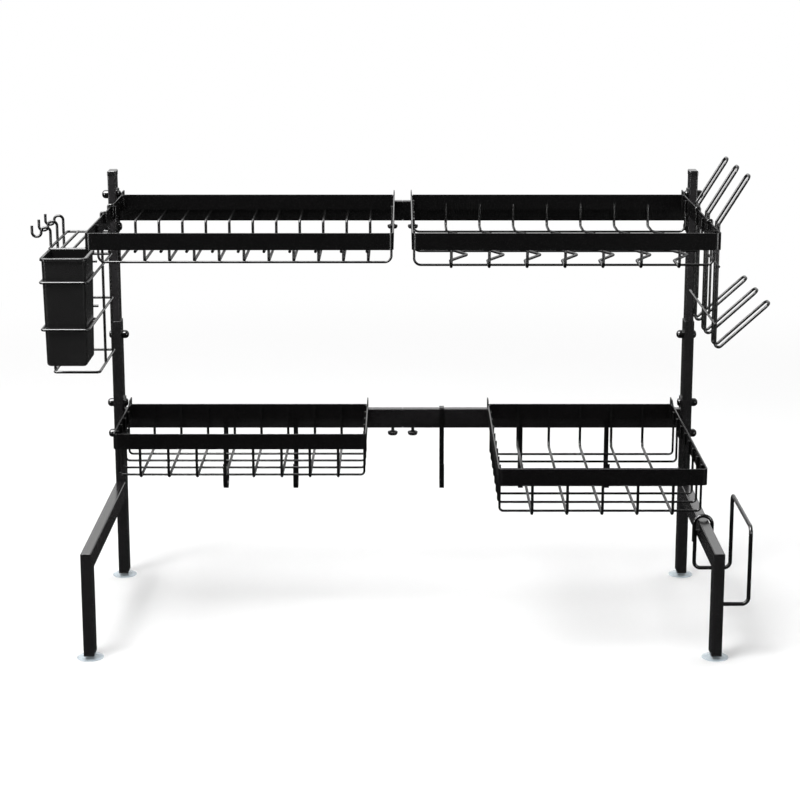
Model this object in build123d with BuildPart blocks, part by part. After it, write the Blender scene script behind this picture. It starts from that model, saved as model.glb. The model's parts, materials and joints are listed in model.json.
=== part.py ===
from build123d import *
import os

# Two-tier dish rack on telescopic legs, in millimetres.
# Origin: middle of the flat underside of the front left suction foot, on the counter.
# +X runs to the right along the rack, +Y to the back, +Z up.

# Side frames
frame_depth = 306.0
tube_width = 12.0
tube_depth = 24.0
tube_wall = 0.8
tube_corner = 1.2
foot_height = 5.0
rail_top = 125.4
rail_height = 22.0
rear_post_top = 330.0

# Telescopic upper posts
slide_clearance = 0.3
upper_post_top = 510.0
upper_post_bottom = 233.0
height_travel = 60.0
cap_height = 6.0
cap_overhang = 0.3
cap_insert_height = 12.0
cap_edge = 1.4

# Telescopic cross bars
bar_depth = 12.0
bar_height = 24.0
bar_wall = 0.8
lower_bar_middle = 205.5
upper_bar_middle = 466.5
butt_gap = 0.3
connector_length = 280.0
end_plate_thickness = 1.5
end_plate_height = 54.0
end_plate_depth = 20.0
end_plate_corner = 3.0

# Domed bolts and cap nuts
bolt_spacing = 39.5
bolt_radius = 2.5
bolt_hole_radius = 2.65
dome_radius = 5.1
bolt_head_height = 3.4
cap_nut_height = 8.4
lock_bolt_height = 312.0
lock_head_height = 4.0
dome_edge_share = 0.86
nut_bore_clearance = 0.05
thread_in_nut = 5.5

# Thumb screws under the bars
thumb_screw_offset = 12.5
thumb_head_radius = 6.2
thumb_head_height = 7.6
thumb_stem_length = 4.7
thumb_stem_radius = 2.5
thumb_pin_radius = 2.0
thumb_pin_clearance = 0.1
thumb_seat_gap = 0.3
knurl_count = 20
knurl_radius = 0.45

# Feet
plug_flange_height = 1.6
plug_insert_height = 9.4
plug_clearance = 0.1
cup_rim_radius = 15.0
cup_rim_height = 0.9
cup_neck_radius = 3.0
cup_neck_clearance = 0.1
cup_knob_radius = 4.2
cup_knob_height = 3.0

# Flat strips of the four hanging racks
strip_thickness = 1.4
strip_height = 18.5
strip_corner = 5.0
strip_rear_gap = 0.4
back_strip_gap = 2.5
fold_length = 8.0
tab_height = 11.8
tab_seat_gap = 0.3
tab_nose_depth = 10.0
tab_nose_width = 4.0
tab_run = 9.0
tab_round = 3.0

# Where the racks hang and how large they are
upper_strip_bottom = 468.5
lower_strip_bottom = 206.5
bowl_rack_inset = 11.5
bowl_rack_width = 332.7
bowl_rack_front = -15.0
plate_rack_inset = 10.7
plate_rack_width = 333.6
plate_rack_front = -15.0
small_basket_inset = 13.0
small_basket_width = 298.0
small_basket_front = 142.0
large_basket_inset = 17.3
large_basket_width = 231.0
large_basket_front = -17.0
rack_gap = 19.5

# Wires of the racks; the weld gap is the thin paint line where two welded pieces meet
weld_gap = 0.05
long_wire = 2.7
cross_wire = 3.2
leg_bend = 7.4
leg_height = 15.5

# Bowl rack: stepped wires that hang from the strips' lower edge
bowl_wire_count = 11
bowl_wire_pitch = 27.77
bowl_wire_start = 26.3
bowl_well_front = 67.5
bowl_well_rear = 214.5
bowl_well_depth = 23.5
bowl_wire_bend = 3.0

# Plate rack: wavy dividers on four long wires
divider_count = 7
divider_pitch = 41.07
divider_start = 42.8
divider_floor = 449.35
divider_top = 476.0
divider_bulge = 20.0
divider_bulge_shares = (0.15, 0.28, 0.41, 0.59, 0.72, 0.85)
divider_leg_bend = 5.0
divider_wave_bend = 9.0
plate_long_wire_shares = (0.1186, 0.4218, 0.5795, 0.8891)

# Baskets: upright U wires along the depth, long wires under them
basket_floor = 171.6
basket_wire_top = 222.5
basket_bend = 7.0
basket_leg_bend = 4.5
small_wire_count = 8
small_wire_pitch = 33.35
small_wire_start = 31.3
small_long_wire_count = 4
small_long_wire_pitch = 32.8
small_long_wire_first = 169.3
large_wire_count = 5
large_wire_pitch = 38.95
large_wire_start = 37.8
large_long_wire_count = 8
large_long_wire_pitch = 36.0
large_long_wire_first = 13.8

# J hooks on the lower bar
hook_place_shares = (0.188, 0.3113, 0.5688, 0.7078, 0.8599)
hook_width = 5.7
hook_thickness = 1.4
hook_gap = 0.3
hook_lip = 11.0
hook_bottom = 120.5
hook_reach = 23.0
hook_tip = 153.0
hook_curl = 11.0
hook_top_bend = 1.6

# Utensil holder outside the bowl rack; places along the depth are shares of the holder's depth
holder_wire = 3.1
holder_gap = 0.3
holder_width = 51.4
holder_front = 5.6
holder_depth = 199.9
holder_corner = 4.0
upper_ring_height = 429.0
lower_ring_height = 376.6
bottom_ring_height = 313.4
bottom_ring_share = 0.367
grid_height = 455.5
grid_share = 0.3435
grid_wire_count = 3
grid_wire_pitch = 13.4
partition_share = 0.727
partition_end_gap = 7.9
upright_shares = (0.622, 0.927)
upright_inner_leg = 12.5
upright_bend = 1.85
curl_shares = (0.407, 0.642, 0.867)
curl_size = 10.3
curl_bend = 4.7
curl_peak = 478.0
curl_tip = 480.0

# Utensil cup, a tapered open box with a rolled rim
cup_wall = 1.6
cup_clearance = 0.3
cup_top = 456.0
cup_bottom = 335.0
cup_depth = 62.5
cup_taper_share = 0.033
cup_corner = 5.0
cup_rim_width = 1.9
cup_rim_depth = 3.2
cup_foot_round = 3.5
drain_radius = 2.2
drain_columns = 2
drain_rows = 4
drain_pitch = 12.0

# Cup rack outside the plate rack; places along the depth are shares of the plate rack's depth
rack_wire = 2.7
rack_loop_wire = 3.2
rack_clearance = 0.3
rack_loop_shares = (0.1488, 0.4031, 0.6573)
rack_loop_gap = 20.0
rack_upper_bend_height = 491.2
rack_lower_bend_height = 349.3
rack_upper_reach = 31.8
rack_upper_rise = 52.4
rack_lower_reach = 58.7
rack_lower_rise = 53.8
rack_bend = 4.0
rack_tip_bend = 6.0
rack_low_wire_height = 383.6
rack_low_wire_shares = (0.0502, 0.7241)
rack_high_wire_height = 447.9
rack_high_wire_shares = (0.0486, 0.777)
rack_hook_shares = (0.2765, 0.59)
rack_hook_bend = 1.65
rack_hook_leg = 11.5

# Board holder on the right rail
board_wire = 4.5
board_arch_gap = 2.25
board_arch_flat = 0.2
board_seat_gap = 0.4
board_gap = 0.3
board_rear = 125.0
board_front = -8.0
board_inner_leg_bottom = 99.0
board_outer_leg_bottom = 100.0
board_reach = 28.1
board_rear_floor = 65.0
board_front_floor = 66.0
board_top = 155.0
board_bend = 7.5
board_weld_top = 112.0
board_stop_gap = 0.5

# Derived places
frame_spacing = (bowl_rack_inset + bowl_rack_width + rack_gap + plate_rack_width
                 + plate_rack_inset)
right_post = frame_spacing
left_post = 0.0
middle = frame_spacing / 2
tube_bottom = foot_height + plug_flange_height
rail_bottom = rail_top - rail_height
frame_front = -tube_depth / 2
leg_rear = tube_depth / 2
rail_end = frame_depth - tube_depth / 2
mitre_slope = rail_height / tube_depth
upper_post_width = tube_width - 2 * (tube_wall + slide_clearance)
upper_post_depth = tube_depth - 2 * (tube_wall + slide_clearance)
bar_front = frame_depth - bar_depth / 2
bar_rear = frame_depth + bar_depth / 2
strip_rear = bar_front - strip_rear_gap
back_strip_rear = bar_front - back_strip_gap
back_strip_front = back_strip_rear - strip_thickness
upper_bar_top = upper_bar_middle + bar_height / 2
lower_bar_top = lower_bar_middle + bar_height / 2
lower_bar_bottom = lower_bar_middle - bar_height / 2
upper_bar_bottom = upper_bar_middle - bar_height / 2

os.makedirs("parts", exist_ok=True)


def save(piece, name):
    piece.label = name
    export_step(piece, f"parts/{name}.step")


def bent_wire(points, diameter, bends):
    """Round wire along straight runs that are joined by bends."""
    with BuildPart() as wire:
        with BuildLine() as route:
            FilletPolyline(*points, radius=bends)
        with BuildSketch(Plane(route.line @ 0, z_dir=route.line % 0)):
            Circle(diameter / 2)
        sweep(path=route.line)
    return wire.part


def straight_wire(start, end, diameter):
    """Round wire with one straight run."""
    run = Vector(*end) - Vector(*start)
    with BuildPart() as wire:
        with BuildSketch(Plane(Vector(*start), z_dir=run)):
            Circle(diameter / 2)
        extrude(amount=run.length)
    return wire.part


def row_of(piece, offsets):
    """Copies of one wire side by side, each a solid of its own."""
    with BuildPart() as row:
        with Locations(*offsets):
            add(piece)
    return row.part


def rounded_bar(width, depth, wall, corner):
    """Section of a rectangular tube round the sketch's current place."""
    RectangleRounded(width, depth, corner)
    RectangleRounded(width - 2 * wall, depth - 2 * wall, max(corner - wall, wall / 4), mode=Mode.SUBTRACT)


# Lower side frames: rear post, mitred rail and front leg
def rear_post(x_post):
    with BuildPart() as post:
        with BuildSketch(Plane.XY.offset(tube_bottom)):
            with Locations((x_post, frame_depth)):
                rounded_bar(tube_width, tube_depth, tube_wall, tube_corner)
        extrude(amount=rear_post_top - tube_bottom)
        with BuildSketch(Plane.YZ.offset(x_post)):
            with Locations((frame_depth, lower_bar_middle + bolt_spacing / 2),
                           (frame_depth, lower_bar_middle - bolt_spacing / 2),
                           (frame_depth, lock_bolt_height)):
                Circle(bolt_hole_radius)
        extrude(amount=tube_width, both=True, mode=Mode.SUBTRACT)
    return post.part


def side_rail(x_post):
    inset = tube_wall / mitre_slope
    with BuildPart() as rail:
        with BuildSketch(Plane.YZ.offset(x_post - tube_width / 2)):
            with BuildLine():
                Polyline((frame_front, rail_top), (rail_end, rail_top), (rail_end, rail_bottom),
                         (leg_rear, rail_bottom), close=True)
            make_face()
        extrude(amount=tube_width)
        fillet(rail.edges().filter_by(Axis.Y), tube_corner)
        with BuildSketch(Plane.YZ.offset(x_post - tube_width / 2 + tube_wall)):
            with BuildLine():
                Polyline((frame_front + inset, rail_top - tube_wall), (rail_end, rail_top - tube_wall),
                         (rail_end, rail_bottom + tube_wall), (leg_rear - inset, rail_bottom + tube_wall),
                         close=True)
            make_face()
        extrude(amount=tube_width - 2 * tube_wall, mode=Mode.SUBTRACT)
    return rail.part


def front_leg(x_post):
    drop = tube_wall * mitre_slope
    with BuildPart() as leg:
        with BuildSketch(Plane.YZ.offset(x_post - tube_width / 2)):
            with BuildLine():
                Polyline((frame_front, tube_bottom), (leg_rear, tube_bottom), (leg_rear, rail_bottom),
                         (frame_front, rail_top), close=True)
            make_face()
        extrude(amount=tube_width)
        fillet(leg.edges().filter_by(Axis.Z), tube_corner)
        with BuildSketch(Plane.YZ.offset(x_post - tube_width / 2 + tube_wall)):
            with BuildLine():
                Polyline((frame_front + tube_wall, tube_bottom), (leg_rear - tube_wall, tube_bottom),
                         (leg_rear - tube_wall, rail_bottom + drop),
                         (frame_front + tube_wall, rail_top - drop), close=True)
            make_face()
        extrude(amount=tube_width - 2 * tube_wall, mode=Mode.SUBTRACT)
    return leg.part


# Feet: a plug in each tube end and a clear suction cup held in the plug
def foot_plugs(x_post):
    insert_width = tube_width - 2 * (tube_wall + plug_clearance)
    insert_depth = tube_depth - 2 * (tube_wall + plug_clearance)
    with BuildPart() as plugs:
        with BuildSketch(Plane.XY.offset(foot_height)):
            with Locations((x_post, 0), (x_post, frame_depth)):
                RectangleRounded(tube_width, tube_depth, tube_corner)
        extrude(amount=plug_flange_height)
        with BuildSketch(Plane.XY.offset(tube_bottom)):
            with Locations((x_post, 0), (x_post, frame_depth)):
                RectangleRounded(insert_width, insert_depth, tube_corner / 2)
        extrude(amount=plug_insert_height)
        with BuildSketch(Plane.XY.offset(foot_height)):
            with Locations((x_post, 0), (x_post, frame_depth)):
                Circle(cup_neck_radius + cup_neck_clearance)
        extrude(amount=plug_flange_height + plug_insert_height, mode=Mode.SUBTRACT)
    return plugs.part


def suction_cup():
    """Pressed suction cup round the origin: a thin skirt, a neck and a knob above the plug."""
    dome_top = foot_height - cup_neck_clearance
    knob_floor = foot_height + plug_flange_height + plug_insert_height + cup_neck_clearance
    with BuildPart() as cup:
        with BuildSketch(Plane.XZ):
            with BuildLine():
                Line((0, 0), (cup_rim_radius, 0))
                Line((cup_rim_radius, 0), (cup_rim_radius, cup_rim_height))
                Spline((cup_rim_radius, cup_rim_height), (cup_neck_radius, dome_top),
                       tangents=[(-1, 0), (0, 1)], tangent_scalars=[1, 1 / 2])
                Line((cup_neck_radius, dome_top), (cup_neck_radius, knob_floor))
                Line((cup_neck_radius, knob_floor), (cup_knob_radius, knob_floor))
                Line((cup_knob_radius, knob_floor), (cup_neck_radius, knob_floor + cup_knob_height))
                Line((cup_neck_radius, knob_floor + cup_knob_height), (0, knob_floor + cup_knob_height))
                Line((0, knob_floor + cup_knob_height), (0, 0))
            make_face()
        revolve(axis=Axis.Z)
    return cup.part


# Cross bars with their welded end plates; side is -1 at the left post and +1 at the right
def bar_half(side, half_post_width, bar_middle):
    x_post = left_post if side < 0 else right_post
    plate_face = x_post - side * half_post_width
    plate_inner = plate_face - side * end_plate_thickness
    bar_end = middle + side * butt_gap / 2
    screw_place = middle + side * thumb_screw_offset
    plate_plane = Plane((plate_face, 0, 0), x_dir=(0, 1, 0), z_dir=(-side, 0, 0))
    bar_plane = Plane((plate_inner, 0, 0), x_dir=(0, 1, 0), z_dir=(-side, 0, 0))
    flip = -side
    with BuildPart() as bar:
        with BuildSketch(plate_plane):
            with Locations((frame_depth, flip * bar_middle)):
                RectangleRounded(end_plate_depth, end_plate_height, end_plate_corner)
            with Locations((frame_depth, flip * (bar_middle + bolt_spacing / 2)),
                           (frame_depth, flip * (bar_middle - bolt_spacing / 2))):
                Circle(bolt_hole_radius, mode=Mode.SUBTRACT)
        extrude(amount=end_plate_thickness)
        with BuildSketch(bar_plane):
            with Locations((frame_depth, flip * bar_middle)):
                rounded_bar(bar_depth, bar_height, bar_wall, tube_corner)
        extrude(amount=abs(bar_end - plate_inner))
        with BuildSketch(Plane.XY.offset(bar_middle - bar_height / 2)):
            with Locations((screw_place, frame_depth)):
                Circle(thumb_pin_radius + thumb_pin_clearance)
        extrude(amount=bar_wall, mode=Mode.SUBTRACT)
    return bar.part


def connector(bar_middle):
    """Sleeve that slides inside both halves of a cross bar."""
    with BuildPart() as sleeve:
        with BuildSketch(Plane.YZ.offset(middle - connector_length / 2)):
            with Locations((frame_depth, bar_middle)):
                rounded_bar(bar_depth - 2 * (bar_wall + slide_clearance),
                            bar_height - 2 * (bar_wall + slide_clearance), bar_wall, tube_corner)
        extrude(amount=connector_length)
    return sleeve.part


def thumb_screw():
    """Knurled thumb screw, standing on the origin under the bar's bottom wall."""
    with BuildPart() as screw:
        with BuildSketch(Plane.XY.offset(-thumb_stem_length - thumb_head_height)):
            Circle(thumb_head_radius)
            with PolarLocations(thumb_head_radius, knurl_count):
                Circle(knurl_radius, mode=Mode.SUBTRACT)
        extrude(amount=thumb_head_height)
        with BuildSketch(Plane.XY.offset(-thumb_stem_length)):
            Circle(thumb_stem_radius)
        extrude(amount=thumb_stem_length - thumb_seat_gap)
        with BuildSketch(Plane.XY.offset(-thumb_seat_gap)):
            Circle(thumb_pin_radius)
        extrude(amount=thumb_seat_gap + bar_wall)
    return screw.part


# Upper posts with a slot for the lock bolt, and their caps
def upper_post(x_post):
    slot_top = lock_bolt_height + bolt_hole_radius
    slot_bottom = lock_bolt_height - height_travel - bolt_hole_radius
    with BuildPart() as post:
        with BuildSketch(Plane.XY.offset(upper_post_bottom)):
            with Locations((x_post, frame_depth)):
                rounded_bar(upper_post_width, upper_post_depth, tube_wall, tube_corner)
        extrude(amount=upper_post_top - upper_post_bottom)
        with BuildSketch(Plane.YZ.offset(x_post)):
            with Locations((frame_depth, upper_bar_middle + bolt_spacing / 2),
                           (frame_depth, upper_bar_middle - bolt_spacing / 2)):
                Circle(bolt_hole_radius)
            with Locations((frame_depth, (slot_top + slot_bottom) / 2)):
                SlotOverall(slot_top - slot_bottom, 2 * bolt_hole_radius, rotation=90)
        extrude(amount=tube_width, both=True, mode=Mode.SUBTRACT)
    return post.part


def post_cap(x_post):
    with BuildPart() as cap:
        with BuildSketch(Plane.XY.offset(upper_post_top)):
            with Locations((x_post, frame_depth)):
                RectangleRounded(upper_post_width + 2 * cap_overhang,
                                 upper_post_depth + 2 * cap_overhang, tube_corner)
        extrude(amount=cap_height)
        fillet(cap.faces().sort_by(Axis.Z).last.edges(), cap_edge)
        with BuildSketch(Plane.XY.offset(upper_post_top - cap_insert_height)):
            with Locations((x_post, frame_depth)):
                RectangleRounded(upper_post_width - 2 * (tube_wall + plug_clearance),
                                 upper_post_depth - 2 * (tube_wall + plug_clearance), tube_corner / 2)
        extrude(amount=cap_insert_height)
    return cap.part


# Fasteners, drawn standing on their seat with the dome upwards
def domed_bolt(head_height, grip):
    with BuildPart() as bolt:
        with BuildSketch(Plane.XY):
            Circle(dome_radius)
        extrude(amount=head_height)
        fillet(bolt.faces().sort_by(Axis.Z).last.edges(), head_height * dome_edge_share)
        with BuildSketch(Plane.XY):
            Circle(bolt_radius)
        extrude(amount=-(grip + thread_in_nut))
    return bolt.part


def cap_nut(height):
    with BuildPart() as nut:
        with BuildSketch(Plane.XY):
            Circle(dome_radius)
        extrude(amount=height)
        fillet(nut.faces().sort_by(Axis.Z).last.edges(), dome_radius * dome_edge_share)
        with BuildSketch(Plane.XY):
            Circle(bolt_radius + nut_bore_clearance)
        extrude(amount=thread_in_nut + nut_bore_clearance, mode=Mode.SUBTRACT)
    return nut.part


def fastener_group(side, half_post_width, bar_middle, with_lock):
    """Two bar bolts with cap nuts outside, and on the lower posts the lock bolt of the height."""
    x_post = left_post if side < 0 else right_post
    outer_face = x_post + side * half_post_width
    plate_inner = x_post - side * (half_post_width + end_plate_thickness)
    lock_inner = x_post - side * half_post_width
    bolt = domed_bolt(bolt_head_height, 2 * half_post_width + end_plate_thickness)
    nut = cap_nut(cap_nut_height)
    inward = (-side, 0, 0)
    outward = (side, 0, 0)
    with BuildPart() as group:
        for step in (-1, 1):
            height = bar_middle + step * bolt_spacing / 2
            with Locations(Plane((plate_inner, frame_depth, height), z_dir=inward)):
                add(bolt)
            with Locations(Plane((outer_face, frame_depth, height), z_dir=outward)):
                add(nut)
        if with_lock:
            with Locations(Plane((outer_face, frame_depth, lock_bolt_height), z_dir=outward)):
                add(domed_bolt(lock_head_height, 2 * half_post_width))
            with Locations(Plane((lock_inner, frame_depth, lock_bolt_height), z_dir=inward)):
                add(nut)
    return group.part


# Flat strips: a rim of one strip bent round three sides, with a hook tab at each end
def rim_band(x_left, x_right, y_front, strip_bottom, bar_top):
    half = strip_thickness / 2
    strip_top = strip_bottom + strip_height
    tab_top = bar_top + tab_height
    nose_inner = bar_rear + strip_rear_gap
    nose_outer = nose_inner + tab_nose_width
    with BuildPart() as band:
        with BuildSketch(Plane.XY.offset(strip_bottom)):
            with BuildLine():
                FilletPolyline((x_left + half, strip_rear), (x_left + half, y_front + half),
                               (x_right - half, y_front + half), (x_right - half, strip_rear),
                               radius=strip_corner)
            trace(line_width=strip_thickness)
        extrude(amount=strip_height)
        for x_face in (x_left, x_right - strip_thickness):
            with BuildSketch(Plane.YZ.offset(x_face)) as tab:
                with BuildLine():
                    Polyline((strip_rear - tab_run, strip_bottom), (strip_rear - tab_run, strip_top),
                             (strip_rear, tab_top), (nose_outer, tab_top),
                             (nose_outer, bar_top - tab_nose_depth),
                             (nose_inner, bar_top - tab_nose_depth),
                             (nose_inner, bar_top + tab_seat_gap), (strip_rear, bar_top + tab_seat_gap),
                             (strip_rear, strip_bottom), close=True)
                make_face()
                fillet(tab.vertices().group_by(Axis.Y)[-1].sort_by(Axis.Z).last, tab_round)
            extrude(amount=strip_thickness)
    return band.part


def back_strip(x_left, x_right, strip_bottom):
    """Rear strip, welded to the rim through a short fold at each end."""
    half = strip_thickness / 2
    left = x_left + strip_thickness + half
    right = x_right - strip_thickness - half
    with BuildPart() as strip:
        with BuildSketch(Plane.XY.offset(strip_bottom)):
            with BuildLine():
                FilletPolyline((left, back_strip_front - fold_length), (left, back_strip_rear - half),
                               (right, back_strip_rear - half), (right, back_strip_front - fold_length),
                               radius=strip_thickness)
            trace(line_width=strip_thickness)
        extrude(amount=strip_height)
    return strip.part


def long_wires(x_left, x_right, places, floor, strip_bottom, bend):
    """Wires across the width, with both ends bent up inside the rim."""
    left = x_left + strip_thickness + weld_gap + long_wire / 2
    right = x_right - strip_thickness - weld_gap - long_wire / 2
    top = strip_bottom + leg_height
    wire = bent_wire([(left, 0, top), (left, 0, floor), (right, 0, floor), (right, 0, top)],
                     long_wire, bend)
    return row_of(wire, [(0, place, 0) for place in places])


def depth_wires(x_left, y_front, start, pitch, count):
    """Upright U wires from the front strip to the back strip."""
    front = y_front + strip_thickness + weld_gap + cross_wire / 2
    rear = back_strip_front - weld_gap - cross_wire / 2
    wire = bent_wire([(0, front, basket_wire_top), (0, front, basket_floor), (0, rear, basket_floor),
                      (0, rear, basket_wire_top)], cross_wire, basket_bend)
    return row_of(wire, [(x_left + start + pitch * turn, 0, 0) for turn in range(count)])


def even_places(first, pitch, count):
    return [first + pitch * turn for turn in range(count)]


# Left and right side frames with everything that is bolted to them
for side, side_name in ((-1, "left"), (1, "right")):
    x_post = left_post if side < 0 else right_post
    lower_half = tube_width / 2
    upper_half = upper_post_width / 2
    screw_place = middle + side * thumb_screw_offset
    save(rear_post(x_post), f"{side_name}_rear_post")
    save(side_rail(x_post), f"{side_name}_rail")
    save(front_leg(x_post), f"{side_name}_front_leg")
    save(foot_plugs(x_post), f"{side_name}_foot_plugs")
    save(row_of(suction_cup(), [(x_post, 0, 0), (x_post, frame_depth, 0)]), f"{side_name}_suction_cups")
    save(bar_half(side, lower_half, lower_bar_middle), f"{side_name}_lower_bar")
    save(fastener_group(side, lower_half, lower_bar_middle, True), f"{side_name}_lower_fasteners")
    save(upper_post(x_post), f"{side_name}_upper_post")
    save(post_cap(x_post), f"{side_name}_post_cap")
    save(bar_half(side, upper_half, upper_bar_middle), f"{side_name}_upper_bar")
    save(fastener_group(side, upper_half, upper_bar_middle, False), f"{side_name}_upper_fasteners")
    save(row_of(thumb_screw(), [(screw_place, frame_depth, lower_bar_bottom)]),
         f"{side_name}_lower_thumb_screw")
    save(row_of(thumb_screw(), [(screw_place, frame_depth, upper_bar_bottom)]),
         f"{side_name}_upper_thumb_screw")
save(connector(lower_bar_middle), "lower_connector")
save(connector(upper_bar_middle), "upper_connector")

# Bowl rack at the upper left
bowl_left = left_post + bowl_rack_inset
bowl_right = bowl_left + bowl_rack_width
shelf = upper_strip_bottom - weld_gap - cross_wire / 2
bowl_floor = shelf - bowl_well_depth
save(rim_band(bowl_left, bowl_right, bowl_rack_front, upper_strip_bottom, upper_bar_top), "bowl_rack_rim")
save(back_strip(bowl_left, bowl_right, upper_strip_bottom), "bowl_rack_back_strip")
bowl_wire = bent_wire(
    [(0, bowl_rack_front + strip_thickness / 2, shelf), (0, bowl_well_front, shelf),
     (0, bowl_well_front, bowl_floor), (0, bowl_well_rear, bowl_floor), (0, bowl_well_rear, shelf),
     (0, back_strip_rear - strip_thickness / 2, shelf)], cross_wire, bowl_wire_bend)
save(row_of(bowl_wire, [(bowl_left + place, 0, 0) for place in
                        even_places(bowl_wire_start, bowl_wire_pitch, bowl_wire_count)]),
     "bowl_rack_stepped_wires")
# The long wires lie in the outer corners of the stepped wires' bends
nest = (bowl_wire_bend + weld_gap + (cross_wire + long_wire) / 2) / 2 ** (1 / 2) - bowl_wire_bend
save(long_wires(bowl_left, bowl_right, (bowl_well_front - nest, bowl_well_rear + nest),
                bowl_floor - nest, upper_strip_bottom, leg_bend), "bowl_rack_long_wires")

# Plate rack at the upper right
plate_right = right_post - plate_rack_inset
plate_left = plate_right - plate_rack_width
divider_front = plate_rack_front + strip_thickness + weld_gap + cross_wire / 2
divider_rear = back_strip_front - weld_gap - cross_wire / 2
divider_run = divider_rear - divider_front
save(rim_band(plate_left, plate_right, plate_rack_front, upper_strip_bottom, upper_bar_top),
     "plate_rack_rim")
save(back_strip(plate_left, plate_right, upper_strip_bottom), "plate_rack_back_strip")
wave = [(divider_bulge * (turn % 3 == 1), divider_front + share * divider_run, divider_floor)
        for turn, share in enumerate(divider_bulge_shares)]
divider = bent_wire(
    [(0, divider_front, divider_top), (0, divider_front, divider_floor), *wave,
     (0, divider_rear, divider_floor), (0, divider_rear, divider_top)], cross_wire,
    [divider_leg_bend, *[divider_wave_bend] * len(wave), divider_leg_bend])
save(row_of(divider, [(plate_left + place, 0, 0) for place in
                      even_places(divider_start, divider_pitch, divider_count)]), "plate_rack_dividers")
plate_depth = strip_rear - plate_rack_front
save(long_wires(plate_left, plate_right,
                [plate_rack_front + share * plate_depth for share in plate_long_wire_shares],
                divider_floor - weld_gap - (cross_wire + long_wire) / 2, upper_strip_bottom, leg_bend),
     "plate_rack_long_wires")

# Small basket at the lower left and large basket at the lower right
small_left = left_post + small_basket_inset
large_left = right_post - large_basket_inset - large_basket_width
long_floor = basket_floor - weld_gap - (cross_wire + long_wire) / 2
for name, x_left, width, y_front, wires, longs in (
        ("small_basket", small_left, small_basket_width, small_basket_front,
         (small_wire_start, small_wire_pitch, small_wire_count),
         (small_long_wire_first, small_long_wire_pitch, small_long_wire_count)),
        ("large_basket", large_left, large_basket_width, large_basket_front,
         (large_wire_start, large_wire_pitch, large_wire_count),
         (large_long_wire_first, large_long_wire_pitch, large_long_wire_count))):
    x_right = x_left + width
    save(rim_band(x_left, x_right, y_front, lower_strip_bottom, lower_bar_top), f"{name}_rim")
    save(back_strip(x_left, x_right, lower_strip_bottom), f"{name}_back_strip")
    save(depth_wires(x_left, y_front, *wires), f"{name}_depth_wires")
    save(long_wires(x_left, x_right, even_places(*longs), long_floor, lower_strip_bottom, basket_leg_bend),
         f"{name}_long_wires")

# J hooks over the lower bar
hook_front = bar_front - hook_gap - hook_thickness / 2
hook_rear = bar_rear + hook_gap + hook_thickness / 2
hook_ridge = lower_bar_top + hook_gap + hook_thickness / 2
with BuildPart() as hook:
    with BuildSketch(Plane.YZ.offset(-hook_width / 2)):
        with BuildLine():
            FilletPolyline((hook_rear, lower_bar_top - hook_lip), (hook_rear, hook_ridge),
                           (hook_front, hook_ridge), (hook_front, hook_bottom),
                           (hook_front - hook_reach, hook_bottom), (hook_front - hook_reach, hook_tip),
                           radius=[hook_top_bend, hook_top_bend, hook_curl, hook_curl])
        trace(line_width=hook_thickness)
    extrude(amount=hook_width)
for number, share in enumerate(hook_place_shares, start=1):
    save(row_of(hook.part, [(share * frame_spacing, 0, 0)]), f"j_hook_{number}")

# Utensil holder: rings and a small grid on uprights that hook over the bowl rack's left strip
ring_right = bowl_left - holder_gap - holder_wire / 2
ring_left = ring_right - holder_width
upright_inner = bowl_left + strip_thickness + holder_gap + holder_wire / 2
upright_peak = upper_strip_bottom + strip_height + holder_gap + holder_wire / 2
holder_rear = holder_front + holder_depth
holder_touch = holder_wire / 2 + weld_gap


def holder_place(share):
    return holder_front + share * holder_depth


def closed_ring(y_front, y_rear, height):
    """Closed rectangular ring, drawn as two mirrored halves that meet face to face."""
    ring_middle = (ring_left + ring_right) / 2
    with BuildPart() as ring:
        with BuildLine() as route:
            FilletPolyline((ring_middle, y_front, height), (ring_left, y_front, height),
                           (ring_left, y_rear, height), (ring_middle, y_rear, height),
                           radius=holder_corner)
        with BuildSketch(Plane(route.line @ 0, z_dir=route.line % 0)):
            Circle(holder_wire / 2)
        sweep(path=route.line)
        mirror(about=Plane.YZ.offset(ring_middle))
    return ring.part


def ring_partition(place, height, right_end):
    return straight_wire((ring_left + holder_touch, place, height), (right_end, place, height), holder_wire)


def stacked_posts(x_place, place, heights):
    """Upright wires welded between rings that lie one above the other."""
    return [straight_wire((x_place, place, lower + holder_touch), (x_place, place, upper - holder_touch),
                          holder_wire) for upper, lower in zip(heights, heights[1:])]


# The cup's straight sides pass the upper ring with the clearance all round
cup_left = ring_left + holder_wire / 2 + cup_clearance
cup_ring_width = holder_width - holder_wire - 2 * cup_clearance
cup_front = holder_front + holder_wire / 2 + cup_clearance
cup_middle_x = cup_left + cup_ring_width / 2
cup_middle_y = cup_front + cup_depth / 2
cup_partition = cup_front + cup_depth + cup_clearance + holder_wire / 2
ring_inner_right = ring_right - holder_touch
grid_front = holder_place(grid_share)
holder_rings = [closed_ring(holder_front, holder_rear, upper_ring_height),
                closed_ring(holder_front, holder_rear, lower_ring_height),
                closed_ring(holder_place(bottom_ring_share), holder_rear, bottom_ring_height),
                closed_ring(grid_front, holder_rear, grid_height)]
for height in (upper_ring_height, lower_ring_height):
    holder_rings.append(ring_partition(cup_partition, height, ring_inner_right))
    holder_rings.append(ring_partition(holder_place(partition_share), height,
                                       ring_inner_right - partition_end_gap))
for turn in range(grid_wire_count):
    x_wire = ring_left + grid_wire_pitch * (turn + 1)
    holder_rings.append(straight_wire((x_wire, grid_front + holder_touch, grid_height),
                                      (x_wire, holder_rear - holder_touch, grid_height), holder_wire))
save(Compound(children=holder_rings), "utensil_holder_rings")

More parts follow.
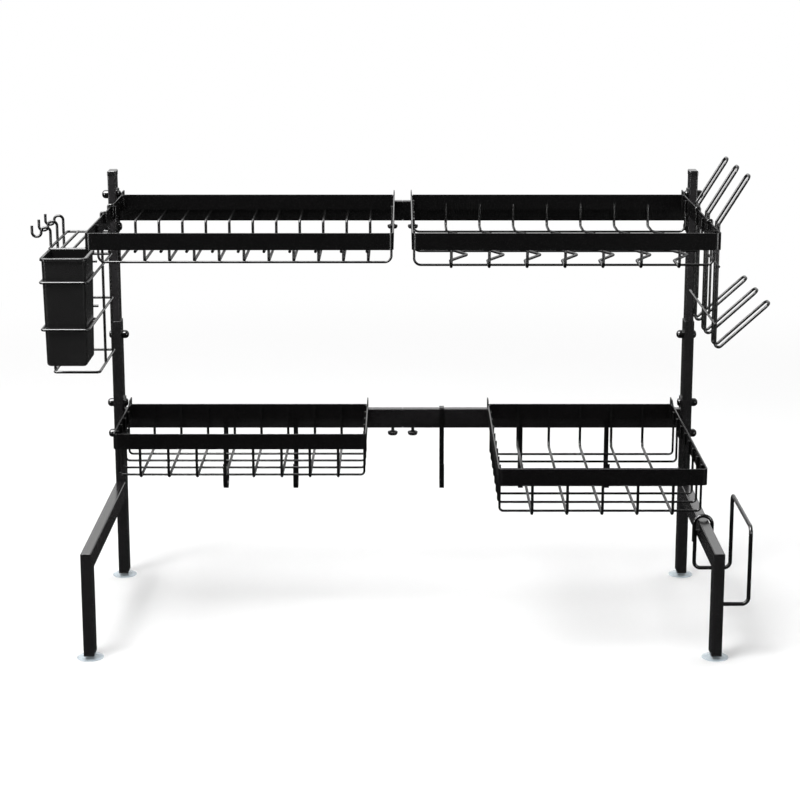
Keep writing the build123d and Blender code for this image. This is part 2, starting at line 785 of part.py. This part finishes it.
ring_heights = (grid_height, upper_ring_height, lower_ring_height, bottom_ring_height)
grid_top = grid_height + holder_touch
holder_uprights = []
for share in upright_shares:
    place = holder_place(share)
    holder_uprights.append(bent_wire(
        [(upright_inner, place, upright_peak - upright_inner_leg), (upright_inner, place, upright_peak),
         (ring_right, place, upright_peak), (ring_right, place, grid_top)], holder_wire, upright_bend))
    holder_uprights.extend(stacked_posts(ring_right, place, ring_heights))
for number, share in enumerate(curl_shares):
    place = holder_place(share)
    holder_uprights.append(bent_wire(
        [(ring_left, place, grid_top), (ring_left, place, curl_peak),
         (ring_left - curl_size, place, curl_peak), (ring_left - curl_size, place, curl_peak - curl_size),
         (ring_left - 2 * curl_size, place, curl_peak - curl_size),
         (ring_left - 2 * curl_size, place, curl_tip)], holder_wire, curl_bend))
    holder_uprights.extend(stacked_posts(ring_left, place, ring_heights[:2] if number else ring_heights))
save(Compound(children=holder_uprights), "utensil_holder_uprights")


def cup_plan(height, shrink):
    """Width, depth and corner of the cup's plan at a height, drawn smaller all round by shrink."""
    spread = 2 * cup_taper_share * (height - upper_ring_height) / 2
    return (cup_ring_width + spread - 2 * shrink, cup_depth + spread - 2 * shrink, cup_corner - shrink)


with BuildPart() as cup:
    for height in (cup_bottom, cup_top):
        with BuildSketch(Plane.XY.offset(height)):
            with Locations((cup_middle_x, cup_middle_y)):
                RectangleRounded(*cup_plan(height, 0))
    loft()
    fillet(cup.faces().sort_by(Axis.Z).first.edges(), cup_foot_round)
    with BuildSketch(Plane.XY.offset(cup_top - cup_rim_depth)):
        with Locations((cup_middle_x, cup_middle_y)):
            RectangleRounded(*cup_plan(cup_top, -cup_rim_width))
    extrude(amount=cup_rim_depth)
    fillet(cup.faces().sort_by(Axis.Z).last.outer_wire().edges(), cup_rim_width / 2)
    for height in (cup_bottom + cup_wall, cup_top):
        with BuildSketch(Plane.XY.offset(height)):
            with Locations((cup_middle_x, cup_middle_y)):
                RectangleRounded(*cup_plan(height, cup_wall))
    loft(mode=Mode.SUBTRACT)
    with BuildSketch(Plane.XY.offset(cup_bottom)):
        with Locations((cup_middle_x, cup_middle_y)):
            with GridLocations(drain_pitch, drain_pitch, drain_columns, drain_rows):
                Circle(drain_radius)
    extrude(amount=cup_wall, mode=Mode.SUBTRACT)
save(cup.part, "utensil_cup")

# Cup rack: three narrow wire loops with a prong at the top and at the bottom
rack_line = plate_right + rack_clearance + rack_loop_wire / 2
rack_low_line = rack_line - weld_gap - (rack_loop_wire + rack_wire) / 2
rack_strip_outer = plate_right + rack_clearance + rack_wire / 2
rack_strip_inner = plate_right - strip_thickness - rack_clearance - rack_wire / 2
rack_peak = upper_strip_bottom + strip_height + rack_clearance + rack_wire / 2
# The high wire passes beside the upturned ends of the plate rack's long wires
rack_high_line = plate_right - strip_thickness + rack_clearance + rack_wire / 2


def plate_place(share):
    return plate_rack_front + share * plate_depth


def cup_loop(place):
    near = place - rack_loop_gap / 2
    upper_tip = (rack_line + rack_upper_reach, rack_upper_bend_height + rack_upper_rise)
    lower_tip = (rack_line + rack_lower_reach, rack_lower_bend_height + rack_lower_rise)
    with BuildPart() as loop:
        with BuildLine() as route:
            FilletPolyline((upper_tip[0], place, upper_tip[1]), (upper_tip[0], near, upper_tip[1]),
                           (rack_line, near, rack_upper_bend_height),
                           (rack_line, near, rack_lower_bend_height),
                           (lower_tip[0], near, lower_tip[1]), (lower_tip[0], place, lower_tip[1]),
                           radius=[rack_tip_bend, rack_bend, rack_bend, rack_tip_bend])
        with BuildSketch(Plane(route.line @ 0, z_dir=route.line % 0)):
            Circle(rack_loop_wire / 2)
        sweep(path=route.line)
        mirror(about=Plane.XZ.offset(-place))
    return loop.part


loop_places = [plate_place(share) for share in rack_loop_shares]
hook_legs = [plate_place(share) for share in rack_hook_shares]
save(Compound(children=[cup_loop(place) for place in loop_places]), "cup_rack_loops")
low_front, low_rear = [plate_place(share) for share in rack_low_wire_shares]
high_front, high_rear = [plate_place(share) for share in rack_high_wire_shares]
rack_wires = [straight_wire((rack_low_line, low_front, rack_low_wire_height),
                            (rack_low_line, low_rear, rack_low_wire_height), rack_wire)]
# The high wire is welded in lengths between the upright wires that it meets
stops = [(place + step * rack_loop_gap / 2, rack_loop_wire / 2 + weld_gap)
         for place in loop_places for step in (-1, 1)]
stops += [(place, rack_wire / 2 + weld_gap) for place in hook_legs]
run_start = high_front
for place, reach in [*sorted(stops), (high_rear, 0)]:
    rack_wires.append(straight_wire((rack_high_line, run_start, rack_high_wire_height),
                                    (rack_high_line, place - reach, rack_high_wire_height), rack_wire))
    run_start = place + reach
for place in hook_legs:
    rack_wires.append(bent_wire(
        [(rack_strip_inner, place, rack_peak - rack_hook_leg), (rack_strip_inner, place, rack_peak),
         (rack_strip_outer, place, rack_peak),
         (rack_strip_outer, place, rack_low_wire_height - rack_wire / 2)], rack_wire, rack_hook_bend))
save(Compound(children=rack_wires), "cup_rack_cross_wires")

# Board holder: a hook over the right rail and one long wire bent into two frames
rail_inner = right_post - tube_width / 2
rail_outer = right_post + tube_width / 2
arch_inner = rail_inner - board_arch_gap - board_wire / 2
arch_outer = rail_outer + board_arch_gap + board_wire / 2
arch_bend = (arch_outer - arch_inner - board_arch_flat) / 2
# The arch sits on the rounded edges of the rail
seat_reach = arch_bend - board_wire / 2 - board_seat_gap - tube_corner
seat_drop = (seat_reach ** 2 - (tube_width / 2 - tube_corner) ** 2) ** (1 / 2)
arch_peak = rail_top - tube_corner - seat_drop + arch_bend
arch = bent_wire([(arch_inner, board_rear, board_inner_leg_bottom), (arch_inner, board_rear, arch_peak),
                  (arch_outer, board_rear, arch_peak), (arch_outer, board_rear, board_outer_leg_bottom)],
                 board_wire, arch_bend)
# The frame's rear leg is welded to the arch and lies beside the rail
frame_inner = rail_inner - board_gap - board_wire / 2
frame_outer = rail_outer + board_reach
weld_reach = weld_gap + board_wire
board_frame_rear = board_rear + (weld_reach ** 2 - (frame_inner - arch_inner) ** 2) ** (1 / 2)
frame_wire = bent_wire(
    [(frame_inner, board_frame_rear, board_weld_top), (frame_inner, board_frame_rear, board_rear_floor),
     (frame_outer, board_frame_rear, board_rear_floor), (frame_outer, board_frame_rear, board_top),
     (frame_outer, board_front, board_top), (frame_outer, board_front, board_front_floor),
     (rail_outer + board_stop_gap, board_front, board_front_floor)], board_wire, board_bend)
save(Compound(children=[arch, frame_wire]), "board_holder")
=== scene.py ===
import json
import math

import bpy
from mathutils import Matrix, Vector


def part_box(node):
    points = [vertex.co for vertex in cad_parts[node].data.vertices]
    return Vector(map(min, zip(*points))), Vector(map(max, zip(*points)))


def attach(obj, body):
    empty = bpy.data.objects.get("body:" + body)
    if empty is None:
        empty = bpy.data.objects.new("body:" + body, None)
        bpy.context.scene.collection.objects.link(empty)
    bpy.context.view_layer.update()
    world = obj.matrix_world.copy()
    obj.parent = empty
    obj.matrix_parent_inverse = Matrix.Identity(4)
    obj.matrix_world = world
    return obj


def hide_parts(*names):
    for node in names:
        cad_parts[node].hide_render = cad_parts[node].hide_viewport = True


# Two-tier dish rack, in metres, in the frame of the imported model.

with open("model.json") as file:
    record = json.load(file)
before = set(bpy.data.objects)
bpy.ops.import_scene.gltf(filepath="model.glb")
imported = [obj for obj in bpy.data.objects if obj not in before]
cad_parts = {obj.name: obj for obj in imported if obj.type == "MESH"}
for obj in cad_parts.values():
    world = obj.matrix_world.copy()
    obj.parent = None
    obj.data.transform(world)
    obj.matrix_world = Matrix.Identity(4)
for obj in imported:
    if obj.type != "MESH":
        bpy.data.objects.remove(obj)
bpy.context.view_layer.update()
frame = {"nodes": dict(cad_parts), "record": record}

# Camera: place, downward pitch and lens worked out from the photograph's 800 x 800 frame
CAMERA_PLACE = (0.354, -2.27685, 0.83128)
CAMERA_PITCH = 13.1487
FOCAL_PIXELS = 2121.94
FRAME_PIXELS = 800
SENSOR_WIDTH = 36.0
AXIS_PIXEL_X = 402.7
CAMERA_REACH = 50.0

# Lamps: name, place, size, power, lights surfaces, shows in reflections.
# The wide, high fill evens the light on the floor. The softbox draws the light line along the
# upper sides of the wires, and the two low boxes draw the upright lines on wires, cup and domes.
LAMP_AIM = (0.354, 0.15, 0.25)
LAMPS = (
    ("key", (-0.5, -0.9, 2.3), 1.0, 38.0, True, True),
    ("fill", (0.354, 0.3, 3.2), 3.0, 48.0, True, False),
    ("softbox", (-0.9, -0.3, 2.2), 2.4, 210.0, False, True),
    ("low_left", (-1.3, -1.5, 0.45), 0.55, 16.0, False, True),
    ("low_right", (1.9, -1.5, 0.45), 0.55, 16.0, False, True),
)

# Room: how bright it is in front and behind, and where it turns from one to the other
ROOM_FRONT = 0.12
ROOM_REAR = 1.0
ROOM_TURN_FRONT = -0.3
ROOM_TURN_REAR = 0.5

# Floor: lit within the near radius round its lit centre, plain white past the far one
FLOOR_PLACE = (0.354, 1.5, -0.0003)
FLOOR_SIZE = 14.0
FLOOR_CENTRE = (0.0, -1.35, 0.0)
FLOOR_NEAR = 0.8
FLOOR_FAR = 2.2
FLOOR_GLOSS = 0.03
FLOOR_SHADES = ((0.95, 0.95, 0.95), (0.96, 0.96, 0.96))
FLOOR_GRAIN = 3.0
FLOOR_ROUGHNESS = 0.8
FLOOR_SPECULAR = 0.1

# Surfaces: depth of their bump, and the band in which cloudy noise turns from dark to light
BUMP_DISTANCE = 0.0002
CLOUD_BAND = (0.3, 0.7)
MOTTLE_BAND = (0.35, 0.65)
# Band of pointiness over which convex edges turn lighter: edge wear and a painted edge highlight.
EDGE_WEAR_AND_HIGHLIGHT_BAND = (0.52, 0.60)
BEVEL_SAMPLES = 4


def set_input(node, name, value):
    """Sets a socket where this Blender has it."""
    if name in node.inputs:
        node.inputs[name].default_value = value


def noise(nodes, links, vector, scale, detail=4.0, roughness=0.5):
    texture = nodes.new("ShaderNodeTexNoise")
    texture.inputs["Scale"].default_value = scale
    texture.inputs["Detail"].default_value = detail
    texture.inputs["Roughness"].default_value = roughness
    links.new(vector, texture.inputs["Vector"])
    return texture.outputs["Fac"]


def ramp(nodes, links, factor, band, colour_low, colour_high):
    """Blends two colours over a band of the factor."""
    element = nodes.new("ShaderNodeValToRGB")
    element.color_ramp.elements[0].position = band[0]
    element.color_ramp.elements[1].position = band[1]
    element.color_ramp.elements[0].color = (*colour_low, 1.0)
    element.color_ramp.elements[1].color = (*colour_high, 1.0)
    links.new(factor, element.inputs["Fac"])
    return element.outputs["Color"]


def map_range(nodes, links, value, source, target, smooth=False):
    """Maps a value from one range to another."""
    element = nodes.new("ShaderNodeMapRange")
    if smooth:
        element.interpolation_type = "SMOOTHSTEP"
    element.inputs["From Min"].default_value = source[0]
    element.inputs["From Max"].default_value = source[1]
    element.inputs["To Min"].default_value = target[0]
    element.inputs["To Max"].default_value = target[1]
    links.new(value, element.inputs["Value"])
    return element.outputs["Result"]


def bump(nodes, links, height, depth, normal=None):
    """Raises a surface by a height texture, over another normal if one is given."""
    element = nodes.new("ShaderNodeBump")
    element.inputs["Strength"].default_value = depth
    element.inputs["Distance"].default_value = BUMP_DISTANCE
    if normal is not None:
        links.new(normal, element.inputs["Normal"])
    links.new(height, element.inputs["Height"])
    return element.outputs["Normal"]


def shade(colour, factor):
    return tuple(channel * factor for channel in colour)


def new_material(name):
    material = bpy.data.materials.new(name)
    material.use_nodes = True
    nodes = material.node_tree.nodes
    links = material.node_tree.links
    shader = nodes["Principled BSDF"]
    place = nodes.new("ShaderNodeTexCoord").outputs["Object"]
    return material, nodes, links, shader, place


def coated_metal(name, colour, roughness, specular, depth=0.10, edge_wear_and_highlight=0.35, edge=0.0006):
    """Powder-coated steel: fine orange peel, soft mottling, and convex edges made lighter as edge wear and
    a painted edge highlight.
    """
    material, nodes, links, shader, place = new_material(name)
    mottle = noise(nodes, links, place, 60.0, 5.0, 0.6)
    body = ramp(nodes, links, mottle, MOTTLE_BAND, shade(colour, 0.82), shade(colour, 1.25))
    # Convex edges lighter: edge wear and a painted edge highlight.
    corner = nodes.new("ShaderNodeNewGeometry").outputs["Pointiness"]
    edge_wear_and_highlight_mask = map_range(nodes, links, corner, EDGE_WEAR_AND_HIGHLIGHT_BAND, (0.0, edge_wear_and_highlight))
    mixed = nodes.new("ShaderNodeMix")
    mixed.data_type = "RGBA"
    mixed.inputs[7].default_value = (*shade(colour, 3.0), 1.0)
    links.new(edge_wear_and_highlight_mask, mixed.inputs[0])
    links.new(body, mixed.inputs[6])
    links.new(mixed.outputs[2], shader.inputs["Base Color"])
    patches = noise(nodes, links, place, 240.0, 3.0)
    gloss = map_range(nodes, links, patches, (0.0, 1.0), (roughness * 0.88, roughness * 1.12))
    links.new(gloss, shader.inputs["Roughness"])
    rounded = nodes.new("ShaderNodeBevel")
    rounded.samples = BEVEL_SAMPLES
    rounded.inputs["Radius"].default_value = edge
    peel = noise(nodes, links, place, 1800.0, 2.0)
    links.new(bump(nodes, links, peel, depth, rounded.outputs["Normal"]), shader.inputs["Normal"])
    set_input(shader, "Specular IOR Level", specular)
    return material


def moulded_plastic(name, colour, roughness, depth=0.12):
    """Injection-moulded plastic with a fine matt grain."""
    material, nodes, links, shader, place = new_material(name)
    flow = noise(nodes, links, place, 25.0, 3.0)
    body = ramp(nodes, links, flow, CLOUD_BAND, shade(colour, 0.9), shade(colour, 1.12))
    links.new(body, shader.inputs["Base Color"])
    patches = noise(nodes, links, place, 120.0, 3.0)
    gloss = map_range(nodes, links, patches, (0.0, 1.0), (roughness * 0.9, roughness * 1.1))
    links.new(gloss, shader.inputs["Roughness"])
    grain = noise(nodes, links, place, 900.0, 2.0)
    links.new(bump(nodes, links, grain, depth), shader.inputs["Normal"])
    return material


def clear_vinyl(name, colour, alpha):
    """Soft clear vinyl of the suction cups, with faint flow clouds."""
    material, nodes, links, shader, place = new_material(name)
    clouds = noise(nodes, links, place, 90.0, 2.0)
    body = ramp(nodes, links, clouds, CLOUD_BAND, shade(colour, 0.93), colour)
    links.new(body, shader.inputs["Base Color"])
    shader.inputs["Roughness"].default_value = 0.18
    shader.inputs["Alpha"].default_value = alpha
    set_input(shader, "Specular IOR Level", 0.5)
    return material


# One black powder coat in four brightnesses. Painted shade darkens the strips, rims, bars and J hooks.
# Painted light brightens the lower bars, posts, legs, connectors, rails and upper posts.
STRIP_COAT_PAINTED_SHADE = coated_metal("strip_coating", (0.0017, 0.0016, 0.0017), 0.24, 0.40)
TUBE_COAT_PAINTED_LIGHT = coated_metal("tube_coating", (0.0060, 0.0057, 0.0060), 0.22, 0.72)
RAIL_COAT_PAINTED_LIGHT = coated_metal("rail_coating", (0.0072, 0.0066, 0.0070), 0.22, 0.95)
UPPER_TUBE_COAT_PAINTED_LIGHT = coated_metal("upper_tube_coating", (0.0105, 0.0098, 0.0105), 0.24, 0.60)
WIRE = coated_metal("wire_coating", (0.0018, 0.0018, 0.0018), 0.22, 0.75, depth=0.02, edge_wear_and_highlight=0.0, edge=0.0)
DOME = coated_metal("gloss_black", (0.0030, 0.0030, 0.0030), 0.10, 0.80, depth=0.03, edge_wear_and_highlight=0.0, edge=0.0)
SCREW = coated_metal("screw_plating", (0.0060, 0.0060, 0.0063), 0.16, 0.90, depth=0.03, edge_wear_and_highlight=0.0, edge=0.0)
PLUG = moulded_plastic("plug_plastic", (0.0050, 0.0050, 0.0050), 0.45)
CUP = moulded_plastic("cup_plastic", (0.0125, 0.0125, 0.0125), 0.17, depth=0.05)
VINYL = clear_vinyl("suction_vinyl", (0.80, 0.91, 0.98), 0.38)

# Material by a word in the node's name, the first that fits, or else by its material slot
NAME_MATERIALS = (
    ("lower_bar", TUBE_COAT_PAINTED_LIGHT),
    ("strip", STRIP_COAT_PAINTED_SHADE),
    ("rim", STRIP_COAT_PAINTED_SHADE),
    ("bar", STRIP_COAT_PAINTED_SHADE),
    ("j_hook", STRIP_COAT_PAINTED_SHADE),
    ("upper_post", UPPER_TUBE_COAT_PAINTED_LIGHT),
    ("rail", RAIL_COAT_PAINTED_LIGHT),
    ("post", TUBE_COAT_PAINTED_LIGHT),
    ("leg", TUBE_COAT_PAINTED_LIGHT),
    ("connector", TUBE_COAT_PAINTED_LIGHT),
)
SLOT_MATERIALS = {
    "black_metal": WIRE,
    "fastener_metal": DOME,
    "black_plastic": PLUG,
    "cup_plastic": CUP,
    "clear_vinyl": VINYL,
    "screw_metal": SCREW,
}


def material_of(node, slot_name):
    for word, material in NAME_MATERIALS:
        if word in node:
            return material
    return SLOT_MATERIALS[slot_name]


for entry in frame["record"]["subparts"]:
    holder = frame["nodes"][entry["node"]]
    holder.data.materials.clear()
    holder.data.materials.append(material_of(entry["node"], entry["material_slot"]))


# Thumb screws: turned knobs with a fluted grip, under the middle of the bars.
# Radius and height of each ring, from the foot of the knob to the top of the pin
KNOB_PROFILE = (
    (0.0035, -0.0104), (0.0046, -0.0102), (0.0053, -0.0096), (0.0058, -0.0086), (0.0060, -0.0074),
    (0.0061, -0.0062), (0.0058, -0.0057), (0.0040, -0.0052), (0.0028, -0.0047), (0.0020, -0.0042),
    (0.0019, -0.0036), (0.0019, 0.0), (0.0019, 0.0010),
)
KNOB_SIDES = 96
KNOB_SHARP_ANGLE = 50.0
GRIP_FLUTES = 24
GRIP_DEPTH = 0.025
GRIP_RADIUS = 0.0052
SCREW_DROP = 0.0123


def turned_knob(name, centre):
    """Solid of revolution about an upright axis, its wide rings fluted."""
    vertices = []
    faces = []
    for radius, height in KNOB_PROFILE:
        for step in range(KNOB_SIDES):
            turn = 2.0 * math.pi * step / KNOB_SIDES
            flute = GRIP_DEPTH * math.cos(GRIP_FLUTES * turn) if radius > GRIP_RADIUS else 0.0
            reach = radius * (1.0 + flute)
            vertices.append((centre[0] + reach * math.cos(turn), centre[1] + reach * math.sin(turn),
                             centre[2] + height))
    for ring in range(len(KNOB_PROFILE) - 1):
        for step in range(KNOB_SIDES):
            following = (step + 1) % KNOB_SIDES
            first = ring * KNOB_SIDES
            second = first + KNOB_SIDES
            faces.append((first + step, first + following, second + following, second + step))
    faces.append(tuple(reversed(range(KNOB_SIDES))))
    last = (len(KNOB_PROFILE) - 1) * KNOB_SIDES
    faces.append(tuple(range(last, last + KNOB_SIDES)))
    mesh = bpy.data.meshes.new(name)
    mesh.from_pydata(vertices, [], faces)
    mesh.shade_smooth()
    mesh.set_sharp_from_angle(angle=math.radians(KNOB_SHARP_ANGLE))
    knob = bpy.data.objects.new(name, mesh)
    bpy.context.collection.objects.link(knob)
    return knob


for side in ("left", "right"):
    for level in ("lower", "upper"):
        node = f"{side}_{level}_thumb_screw"
        low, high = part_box(node)
        centre = ((low[0] + high[0]) / 2, (low[1] + high[1]) / 2, low[2] + SCREW_DROP)
        knob = turned_knob(f"{side}_{level}_knob", centre)
        knob.data.materials.append(SCREW)
        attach(knob, f"{side}_{level}_screw")
        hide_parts(node)


def plain_floor():
    """White floor: lit near the rack, where its shadow lies, and plain white further out."""
    bpy.ops.mesh.primitive_plane_add(size=FLOOR_SIZE, location=FLOOR_PLACE)
    floor = bpy.context.object
    floor.name = "floor"
    material, nodes, links, shader, place = new_material("floor_white")
    grain = noise(nodes, links, place, FLOOR_GRAIN)
    links.new(ramp(nodes, links, grain, CLOUD_BAND, *FLOOR_SHADES), shader.inputs["Base Color"])
    shader.inputs["Roughness"].default_value = FLOOR_ROUGHNESS
    set_input(shader, "Specular IOR Level", FLOOR_SPECULAR)
    away = nodes.new("ShaderNodeVectorMath")
    away.operation = "DISTANCE"
    away.inputs[1].default_value = FLOOR_CENTRE
    links.new(place, away.inputs[0])
    far = map_range(nodes, links, away.outputs["Value"], (FLOOR_NEAR, FLOOR_FAR), (0.0, 1.0), smooth=True)
    white = nodes.new("ShaderNodeEmission")
    outer = nodes.new("ShaderNodeMixShader")
    links.new(far, outer.inputs["Fac"])
    links.new(shader.outputs["BSDF"], outer.inputs[1])
    links.new(white.outputs["Emission"], outer.inputs[2])
    path = nodes.new("ShaderNodeLightPath")
    dim = nodes.new("ShaderNodeEmission")
    dim.inputs["Strength"].default_value = FLOOR_GLOSS
    seen = nodes.new("ShaderNodeMixShader")
    links.new(path.outputs["Is Glossy Ray"], seen.inputs["Fac"])
    links.new(outer.outputs["Shader"], seen.inputs[1])
    links.new(dim.outputs["Emission"], seen.inputs[2])
    links.new(seen.outputs["Shader"], nodes["Material Output"].inputs["Surface"])
    material.cycles.emission_sampling = "NONE"
    floor.data.materials.append(material)


def larger_of(nodes, links, first, second):
    node = nodes.new("ShaderNodeMath")
    node.operation = "MAXIMUM"
    links.new(first, node.inputs[0])
    links.new(second, node.inputs[1])
    return node.outputs[0]


def white_world():
    """White for the camera; for the light on the rack, bright behind it and darker in front."""
    world = bpy.data.worlds.new("studio")
    bpy.context.scene.world = world
    world.use_nodes = True
    nodes = world.node_tree.nodes
    links = world.node_tree.links
    nodes.clear()
    direction = nodes.new("ShaderNodeSeparateXYZ")
    links.new(nodes.new("ShaderNodeTexCoord").outputs["Generated"], direction.inputs["Vector"])
    room = map_range(nodes, links, direction.outputs["Y"], (ROOM_TURN_FRONT, ROOM_TURN_REAR),
                     (ROOM_FRONT, ROOM_REAR), smooth=True)
    path = nodes.new("ShaderNodeLightPath")
    seen = larger_of(nodes, links, path.outputs["Is Camera Ray"], path.outputs["Is Transmission Ray"])
    sky = nodes.new("ShaderNodeBackground")
    sky.inputs["Color"].default_value = (1.0, 1.0, 1.0, 1.0)
    links.new(larger_of(nodes, links, seen, room), sky.inputs["Strength"])
    links.new(sky.outputs[0], nodes.new("ShaderNodeOutputWorld").inputs["Surface"])


def area_light(name, place, size, energy, lights_surfaces, in_reflections):
    data = bpy.data.lights.new(name, "AREA")
    data.size = size
    data.energy = energy
    lamp = bpy.data.objects.new(name, data)
    lamp.location = place
    lamp.rotation_euler = (Vector(LAMP_AIM) - Vector(place)).to_track_quat("-Z", "Y").to_euler()
    bpy.context.collection.objects.link(lamp)
    lamp.visible_camera = False
    lamp.visible_diffuse = lights_surfaces
    lamp.visible_glossy = in_reflections


def photo_camera():
    data = bpy.data.cameras.new("photo_camera")
    data.sensor_width = SENSOR_WIDTH
    data.lens = FOCAL_PIXELS * SENSOR_WIDTH / FRAME_PIXELS
    data.shift_x = (FRAME_PIXELS / 2 - AXIS_PIXEL_X) / FRAME_PIXELS
    data.clip_end = CAMERA_REACH
    camera = bpy.data.objects.new("photo_camera", data)
    camera.location = CAMERA_PLACE
    camera.rotation_euler = (math.radians(90.0 - CAMERA_PITCH), 0.0, 0.0)
    bpy.context.collection.objects.link(camera)
    bpy.context.scene.camera = camera


plain_floor()
white_world()
for lamp_values in LAMPS:
    area_light(*lamp_values)
photo_camera()
bpy.context.scene.view_settings.view_transform = "Standard"
